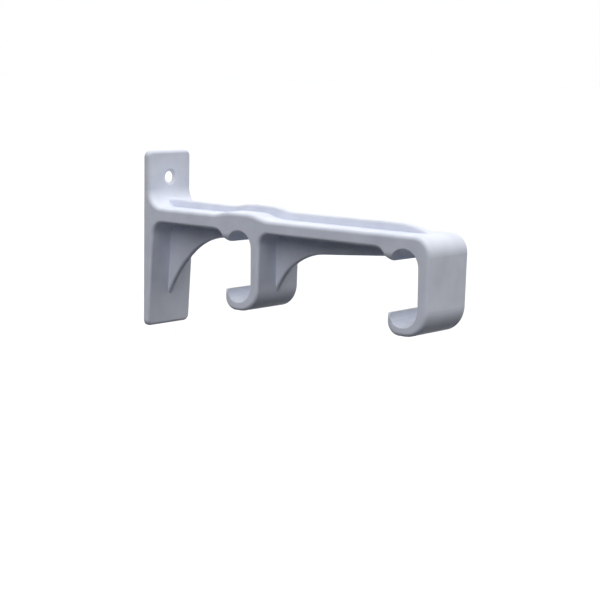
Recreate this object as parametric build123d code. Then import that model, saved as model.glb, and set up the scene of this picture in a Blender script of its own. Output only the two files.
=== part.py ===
from build123d import *
import os

os.makedirs("parts", exist_ok=True)

# The bracket is one moulding. X runs out from the wall, Y along the curtain track, Z up.
# Heights are measured from the axis of the screw hole, and the finished moulding is then
# raised so that its zero point is the middle of the wall plate's back.

# Wall plate
width = 26.1
plate_top = 11.9
plate_height = 77.8
plate_thickness = 2.95
plate_foot = 2.6
plate_root = 5.6
plate_corner = 2.8

# Screw hole
screw_throat = 5.1
screw_land = 0.5
screw_mouth = 7.4
screw_sink = 0.6
relief_diameter = 9.6

# Arm
arm_top = -12.75
arm_under = -19.3
crest_top = -11.35
crest_start = 51.9
crest_end = 61.5
outer_top = -13.5
crest_rise = 10.7
crest_fall = 12.7
top_root_radius = 7.5
under_root_radius = 6.0
outer_corner = 7.5

# Hooks, one shape used twice, placed by the middle of the channel
hook_x = 57.1
hook_pitch = 85.6
channel_radius = 7.1
channel_z = -41.65
sole_thickness = 3.65
leg_thickness = 4.4
outer_leg_thickness = 5.1
leg_draft = 0.4
wall_lean = 0.2
heel_tuck = 1.5
toe_overhang = 0.1
toe_tuck = 1.7
lip_drop = 2.2
lip_thickness = 2.7
lip_edge = 1.3
lip_corner = 2.0
notch_z = -25.9
tooth_tip = -24.0
tooth_run = 7.6
tooth_corner = 3.5
leg_root_radius = 5.0

# Web under the arm and rib on top of it
web_thickness = 2.9
web_under = -24.2
web_foot = -53.4
web_bend = (19.3, -31.8)
web_flat = 40.0
web_end = -23.3
web_lap = 1.5
outer_web_foot = -43.9
outer_web_under = -26.5
outer_web_flat = 93.0
outer_web_sink = 0.4
rib_width = 4.8
rib_top = -9.3
rib_dip = -9.9
rib_crest = -8.6
rib_outer_top = -10.2
rib_delay = 3.5
rib_ramp_end = 148.8
rib_ramp_run = 17.3
rib_ramp_low = -14.2
rib_round = 1.1
web_round = 1.0

# Edge rounding
top_round = 1.65
under_round = 1.4
channel_round = 0.6
back_round = 0.5

half = width / 2
plate_bottom = plate_top - plate_height
plate_middle = plate_top - plate_height / 2
outer_hook_x = hook_x + hook_pitch
leg_face = hook_x + channel_radius + leg_thickness
sole_z = channel_z - channel_radius - sole_thickness
toe_reach = channel_radius + toe_overhang
toe_radius = channel_radius - toe_tuck
lip_top = channel_z - lip_drop
notch_radius = channel_radius - wall_lean
end_face = outer_hook_x + channel_radius + outer_leg_thickness
web_top = (arm_top + arm_under) / 2
rib_ramp_start = rib_ramp_end - rib_ramp_run
tooth_x = hook_x - (notch_radius**2 - (tooth_tip - notch_z) ** 2) ** 0.5


def wave(start, root, low, high, after, delay):
    """Top line that rises over the inner hook and falls again beyond it."""
    crest = crest_start + delay / 2
    fall = crest_end + delay
    return [
        Line((start, root), (crest - crest_rise, low)),
        Spline((crest - crest_rise, low), (crest, high), tangents=[(1, 0), (1, 0)]),
        Line((crest, high), (fall, high)),
        Spline((fall, high), (fall + crest_fall, after), tangents=[(1, 0), (1, 0)]),
    ]


def hook(x, top, thickness):
    """Outline of a hook from the outer face of its leg round to the arm's underside."""
    inner = x + channel_radius
    outer = inner + thickness
    heel_radius = channel_radius + thickness - heel_tuck
    heel = (outer - leg_draft, sole_z + heel_radius)
    sole = (heel[0] - heel_radius, sole_z)
    toe = (x - toe_reach, sole_z + toe_radius)
    ball = (toe[0] + toe_radius, sole_z)
    lip = lip_thickness - toe_reach
    drop = (channel_radius**2 - lip**2) ** 0.5
    tooth = tooth_x + x - hook_x
    ramp = (tooth - 0.5 * tooth_run, arm_under + 0.36 * (tooth_tip - arm_under))
    return [
        Line((outer, top), heel),
        TangentArc(heel, sole, tangent=(0, -1)),
        Line(sole, ball),
        TangentArc(ball, toe, tangent=(-1, 0)),
        Line(toe, (toe[0], lip_top)),
        Line((toe[0], lip_top), (x + lip, lip_top)),
        Line((x + lip, lip_top), (x + lip, channel_z - drop)),
        ThreePointArc(
            (x + lip, channel_z - drop),
            (x, channel_z - channel_radius),
            (inner, channel_z),
        ),
        Line((inner, channel_z), (x + notch_radius, notch_z)),
        ThreePointArc(
            (x + notch_radius, notch_z), (x, notch_z + notch_radius), (tooth, tooth_tip)
        ),
        Line((tooth, tooth_tip), ramp),
        TangentArc((tooth - tooth_run, arm_under), ramp, tangent=(1, 0)),
    ]


def side_outline():
    """Side view of the whole moulding with sharp root corners."""
    tooth_start = tooth_x - tooth_run
    return [
        Line((0, plate_bottom), (0, plate_top)),
        Line((0, plate_top), (plate_thickness, plate_top)),
        Line((plate_thickness, plate_top), (plate_thickness, arm_top)),
        *wave(plate_thickness, arm_top, arm_top, crest_top, outer_top, 0),
        Line((crest_end + crest_fall, outer_top), (end_face, outer_top)),
        *hook(outer_hook_x, outer_top, outer_leg_thickness),
        Line((tooth_start + hook_pitch, arm_under), (leg_face, arm_under)),
        *hook(hook_x, arm_under, leg_thickness),
        Line((tooth_start, arm_under), (plate_root, arm_under)),
        Line((plate_root, arm_under), (plate_foot, plate_bottom)),
        Line((plate_foot, plate_bottom), (0, plate_bottom)),
    ]


def at(shape, x, z):
    """The vertex of a flat outline nearest to a point of the side view."""
    return shape.vertices().sort_by_distance((x, z, 0))[0]


def rounded_outline():
    """Side view with the large root and corner radii."""
    face = make_face(side_outline())
    face = fillet(at(face, plate_thickness, arm_top), top_root_radius)
    face = fillet(at(face, plate_root, arm_under), under_root_radius)
    face = fillet(at(face, leg_face, arm_under), leg_root_radius)
    return fillet(at(face, end_face, outer_top), outer_corner)


def slab(face, depth):
    """Solid of the given depth along Y, centred on the bracket's middle plane."""
    return extrude(Plane.XZ * face, depth / 2, both=True)


def rims(body, x, z, y=half):
    """The two edges on the faces at y and -y that pass closest to a side view point."""
    found = []
    for level in (-y, y):
        side = [e for e in body.edges() if abs(e.center().Y - level) < 0.01]
        found.append(min(side, key=lambda e: e.distance_to(Vertex(x, level, z))))
    return found


def rounded_body():
    """The plate, arm and hooks with every outer edge rounded as it left the mould."""
    body = slab(rounded_outline(), width)
    corners = body.edges().filter_by(Axis.X).filter_by(
        lambda e: e.center().Z > 0 or e.center().Z < plate_bottom + 1
    )
    body = fillet(corners, plate_corner)
    wall_middle = (channel_z + notch_z) / 2
    for x, z, radius in (
        (hook_x + channel_radius, wall_middle, channel_round),
        (outer_hook_x + channel_radius, wall_middle, channel_round),
        (leg_face + 30, arm_under, under_round),
        (tooth_x - 25, arm_under, under_round),
        (leg_face + 15, outer_top, top_round),
        (0, channel_z, back_round),
    ):
        body = fillet(rims(body, x, z), radius)
    return body


def lip_scoop(x):
    """Cutter that thins a lip to its edge on the channel side."""
    root = x - toe_reach + lip_thickness
    low = channel_z - (channel_radius**2 - (root - x) ** 2) ** 0.5 + 0.1
    edge = x - toe_reach + lip_edge
    corners = ((edge, lip_top), (edge, lip_top + 1), (root + 1, lip_top + 1), (root + 1, low))
    hollow = TangentArc((edge, lip_top), (root, low), tangent=(0, -1))
    return slab(make_face([hollow, *Polyline(*corners, (root, low)).edges()]), width + 2)


def end_corners(x, depth, edge, inward, radius):
    """Cutter that rounds both ends of a lip or ridge whose free edge is at a given height."""
    level = edge + inward * radius
    block = Pos(0, edge) * Rectangle(width + 2, 2 * radius)
    block -= Pos(0, level) * Rectangle(width - 2 * radius, 4 * radius)
    for side in (-1, 1):
        block -= Pos(side * (half - radius), level) * Circle(radius)
    return extrude(Plane.YZ.offset(x) * block, depth)


def inner_web():
    """Web from the wall plate to the tooth of the inner hook."""
    end = tooth_x - web_lap
    low = TangentArc((web_flat, web_under), web_bend, tangent=(-1, 0))
    foot = TangentArc(low @ 1, (plate_thickness, web_foot), tangent=low % 1)
    return [
        low,
        foot,
        Line(foot @ 1, (plate_thickness / 2, web_foot)),
        Line((plate_thickness / 2, web_foot), (plate_thickness / 2, web_top)),
        Line((plate_thickness / 2, web_top), (end, web_top)),
        Line((end, web_top), (end, web_end)),
        Line((end, web_end), (web_flat, web_under)),
    ]


def outer_web():
    """Web from the inner leg to the tooth of the outer hook."""
    end = tooth_x + hook_pitch - web_lap
    root = leg_face - leg_thickness / 2
    run = Line((end, web_end), (outer_web_flat, outer_web_under))
    foot_x = leg_face - outer_web_sink
    foot = TangentArc(run @ 1, (foot_x, outer_web_foot), tangent=run % 1)
    return [
        run,
        foot,
        Line(foot @ 1, (root, outer_web_foot)),
        Line((root, outer_web_foot), (root, web_top)),
        Line((root, web_top), (end, web_top)),
        Line((end, web_top), (end, web_end)),
    ]


def rib():
    """Rib along the top, with rounded shoulders and a ramp at its outer end."""
    start = plate_thickness / 2
    level = crest_end + rib_delay + crest_fall
    outline = [
        *wave(start, rib_top, rib_dip, rib_crest, rib_outer_top, rib_delay),
        Line((level, rib_outer_top), (rib_ramp_start, rib_outer_top)),
        Spline(
            (rib_ramp_start, rib_outer_top),
            (rib_ramp_end, rib_ramp_low),
            tangents=[(1, 0), (1, -0.35)],
        ),
        Line((rib_ramp_end, rib_ramp_low), (rib_ramp_end, web_top)),
        Line((rib_ramp_end, web_top), (start, web_top)),
        Line((start, web_top), (start, rib_top)),
    ]
    bar = slab(make_face(outline), rib_width)
    shoulders = bar.edges().filter_by(
        lambda e: abs(abs(e.center().Y) - rib_width / 2) < 0.01
        and e.center().Z > outer_top
        and start < e.center().X < rib_ramp_end
    )
    return fillet(shoulders, rib_round)


def web(outline, x, z):
    """Web of even thickness whose lower edge, passing near x and z, is rounded."""
    plate = slab(make_face(outline), web_thickness)
    return fillet(rims(plate, x, z, web_thickness / 2), web_round)


def screw_hole():
    """Countersunk hole with a short throat and a wider relief behind it."""
    relief_depth = plate_thickness - screw_sink - screw_land
    throat = screw_throat / 2
    tool = extrude(Plane.YZ * Circle(relief_diameter / 2), relief_depth)
    tool += extrude(Plane.YZ * Circle(throat), plate_thickness)
    sink = Plane.YZ.offset(plate_thickness - screw_sink)
    beyond = 2 * (screw_mouth / 2 - throat) + throat
    return tool + loft([sink * Circle(throat), sink.offset(2 * screw_sink) * Circle(beyond)])


def bracket():
    """The whole moulding."""
    body = rounded_body()
    for x in (0, hook_pitch):
        toe = hook_x - toe_reach + x
        body -= lip_scoop(hook_x + x)
        body -= end_corners(toe - 1, lip_thickness + 2, lip_top, -1, lip_corner)
        body -= end_corners(tooth_x - tooth_run + x, tooth_run + 4, tooth_tip, 1, tooth_corner)
    body += web(inner_web(), web_flat - 5, web_under)
    body += web(outer_web(), outer_web_flat + 10, outer_web_under)
    body += rib()
    return body - screw_hole()


export_step(Pos(0, 0, -plate_middle) * bracket(), "parts/track_bracket.step")
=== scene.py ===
import math

import bpy
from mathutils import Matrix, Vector

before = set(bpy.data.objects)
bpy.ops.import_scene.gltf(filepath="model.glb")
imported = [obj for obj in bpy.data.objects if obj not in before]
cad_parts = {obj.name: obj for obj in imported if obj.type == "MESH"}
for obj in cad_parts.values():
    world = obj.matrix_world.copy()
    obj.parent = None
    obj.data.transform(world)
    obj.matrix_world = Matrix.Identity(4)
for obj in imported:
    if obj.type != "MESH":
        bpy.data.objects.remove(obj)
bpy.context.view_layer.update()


# The bracket is a single injection moulding in pale blue-grey plastic with a satin skin.
# Its finish is that of the mould: a fine even grain, soft sink marks where the walls are
# thick, a seam down the middle where the mould closed, and one fleck of dirt on the rib.

deeper_plastic = (0.735, 0.770, 0.880, 1.0)
paler_plastic = (0.825, 0.860, 0.965, 1.0)
mottles_to_the_metre = 110.0
mottle_contrast = 2.0

fleck_colour = (0.20, 0.21, 0.24, 1.0)
fleck_centre = (0.0550, 0.0008, 0.0184)
fleck_core = 0.0004
fleck_edge = 0.0009
fleck_strength = 0.7

satin_roughness = 0.50
roughness_spread = 0.12
rough_patches_to_the_metre = 120.0
skin_ior = 1.18

grains_to_the_metre = 2600.0
grain_depth = 0.000012
sinks_to_the_metre = 60.0
sink_depth = 0.0005
seam_half_width = 0.00025
seam_height = 0.00003


class Wire:
    """A socket of a node tree, on which sums are written as ordinary arithmetic."""

    def __init__(self, tree, socket=None):
        self.tree = tree
        self.socket = socket

    def node(self, kind, settings=None, sockets=None, output=0):
        """Adds a node by its type, then its settings, then what its sockets are given."""
        made = self.tree.nodes.new("ShaderNode" + kind)
        for name, value in (settings or {}).items():
            setattr(made, name, value)
        for name, value in (sockets or {}).items():
            if isinstance(value, Wire):
                self.tree.links.new(value.socket, made.inputs[name])
            else:
                made.inputs[name].default_value = value
        return Wire(self.tree, made.outputs[output] if made.outputs else None)

    def math(self, operation, *values):
        return self.node("Math", {"operation": operation}, dict(enumerate(values)))

    def __add__(self, other):
        return self.math("ADD", self, other)

    def __radd__(self, other):
        return self.math("ADD", other, self)

    def __sub__(self, other):
        return self.math("SUBTRACT", self, other)

    def __rsub__(self, other):
        return self.math("SUBTRACT", other, self)

    def __mul__(self, other):
        return self.math("MULTIPLY", self, other)

    def __rmul__(self, other):
        return self.math("MULTIPLY", other, self)

    def __abs__(self):
        return self.math("ABSOLUTE", self)

    def rise(self, low, high):
        """0 up to low, 1 from high on, and a smooth ramp between them."""
        smooth = {"interpolation_type": "SMOOTHSTEP"}
        return self.node("MapRange", smooth, {"Value": self, "From Min": low, "From Max": high})

    def near(self, middle, reach):
        """1 at the middle on this wire's scale, falling smoothly to 0 at the reach."""
        return 1.0 - abs(self - middle).rise(0.0, reach)

    def mix(self, one, other):
        """A colour that goes from one to the other as this wire goes from 0 to 1."""
        factor, first_colour, second_colour, colour_result = 0, 6, 7, 2
        colours = {factor: self, first_colour: one, second_colour: other}
        return self.node("Mix", {"data_type": "RGBA"}, colours, colour_result)


def new_material(name):
    """An empty material and a wire that starts its nodes."""
    material = bpy.data.materials.new(name)
    material.use_nodes = True
    material.node_tree.nodes.clear()
    return material, Wire(material.node_tree)


plastic, start = new_material("moulded_plastic")
place = start.node("TexCoord", output="Object")
across = start.node("SeparateXYZ", sockets={0: place}, output="Y")


def cloud(blots_to_the_metre, detail=2.0):
    """Soft noise around 0.5 in the plastic."""
    noise = {"Vector": place, "Scale": blots_to_the_metre, "Detail": detail}
    return start.node("TexNoise", sockets=noise, output="Fac")


mottling = (cloud(mottles_to_the_metre, detail=1.0) - 0.5) * mottle_contrast + 0.5
shade = mottling.mix(deeper_plastic, paler_plastic)
fleck_distance = start.node(
    "VectorMath", {"operation": "DISTANCE"}, {0: place, 1: fleck_centre}, "Value"
)
fleck = (1.0 - fleck_distance.rise(fleck_core, fleck_edge)) * fleck_strength
colour = fleck.mix(shade, fleck_colour)
roughness = satin_roughness + (cloud(rough_patches_to_the_metre) - 0.5) * roughness_spread

grain = cloud(grains_to_the_metre)
sinks = cloud(sinks_to_the_metre, detail=1.0)
seam = across.near(0.0, seam_half_width)
height = grain * grain_depth + sinks * sink_depth + seam * seam_height
relief = start.node("Bump", sockets={"Height": height, "Distance": 1.0, "Strength": 1.0})

skin = {"Base Color": colour, "Roughness": roughness, "Normal": relief, "IOR": skin_ior}
surface = start.node("BsdfPrincipled", sockets=skin)
start.node("OutputMaterial", sockets={"Surface": surface})

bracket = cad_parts["track_bracket"]
for slot in bracket.material_slots:
    slot.link = "OBJECT"
    slot.material = plastic


# The studio is a white sweep far below the bracket, which hangs where a wall would hold
# it. The camera and reflections see a white sweep and sky, but what both throw on the
# bracket is dim, and four broad soft lamps give most of its light.

floor_height = -0.22
floor_width = 400.0
seen_floor = (0.95, 0.95, 0.95, 1.0)
floor_bounce = (0.030, 0.033, 0.039, 1.0)

seen_sky = (1.0, 1.0, 1.0, 1.0)
horizon_glow = (0.03, 0.032, 0.036, 1.0)
overhead_glow = (0.83, 0.84, 0.83, 1.0)
glow_start = 0.3
glow_full = 0.98

lamp_spread = math.radians(60.0)
lamps = (
    # name, strength, tint, the way from the bracket to the lamp
    ("key", 1.38, (1.0, 0.985, 0.95), (0.36, 0.46, 0.80)),
    ("fill", 1.15, (1.0, 0.995, 1.0), (0.34, -0.66, 0.68)),
    ("front", 0.12, (0.95, 0.98, 1.0), (0.35, -0.92, 0.05)),
    ("back", 0.35, (1.0, 1.0, 1.0), (-0.80, 0.25, 0.54)),
)


def seen_as_white(start):
    """1 for rays from the camera or off a glossy or clear surface, 0 for diffuse light."""
    eye = start.node("LightPath", output="Is Camera Ray")
    glossy = start.node("LightPath", output="Is Glossy Ray")
    through = start.node("LightPath", output="Is Transmission Ray")
    return start.math("MINIMUM", eye + glossy + through, 1.0)


floor_material, start = new_material("floor")
floor_colour = seen_as_white(start).mix(floor_bounce, seen_floor)
surface = start.node("BsdfDiffuse", sockets={"Color": floor_colour})
start.node("OutputMaterial", sockets={"Surface": surface})
bpy.ops.mesh.primitive_plane_add(size=floor_width, location=(0.0, 0.0, floor_height))
floor = bpy.context.object
floor.name = "floor"
floor.data.materials.append(floor_material)

world = bpy.data.worlds.new("studio")
bpy.context.scene.world = world
world.use_nodes = True
world.node_tree.nodes.clear()
start = Wire(world.node_tree)
direction = start.node("TexCoord", output="Generated")
up = start.node("SeparateXYZ", sockets={0: direction}, output="Z")
glow = up.rise(glow_start, glow_full).mix(horizon_glow, overhead_glow)
sky = seen_as_white(start).mix(glow, seen_sky)
surface = start.node("Background", sockets={"Color": sky})
start.node("OutputWorld", sockets={"Surface": surface})

for name, strength, tint, toward in lamps:
    lamp = bpy.data.lights.new(name, "SUN")
    lamp.energy = strength
    lamp.color = tint
    lamp.angle = lamp_spread
    softbox = bpy.data.objects.new(name, lamp)
    softbox.rotation_euler = Vector(toward).to_track_quat("Z", "Y").to_euler()
    bpy.context.collection.objects.link(softbox)


# The camera stands a little above the arm and out beyond its free end, and looks along
# it at the wall plate. It is turned slightly on its own axis, as a hand holds it.

tilt, roll, turn = 81.3774, -1.1136, 40.8607

lens = bpy.data.cameras.new("camera")
lens.lens = 86.633
lens.sensor_width = 36.0
lens.clip_start = 0.01
lens.clip_end = 1000.0
camera = bpy.data.objects.new("camera", lens)
camera.location = (0.46649, -0.44883, 0.07015)
camera.rotation_euler = [math.radians(angle) for angle in (tilt, roll, turn)]
bpy.context.collection.objects.link(camera)
bpy.context.scene.camera = camera

bpy.context.scene.view_settings.view_transform = "Standard"
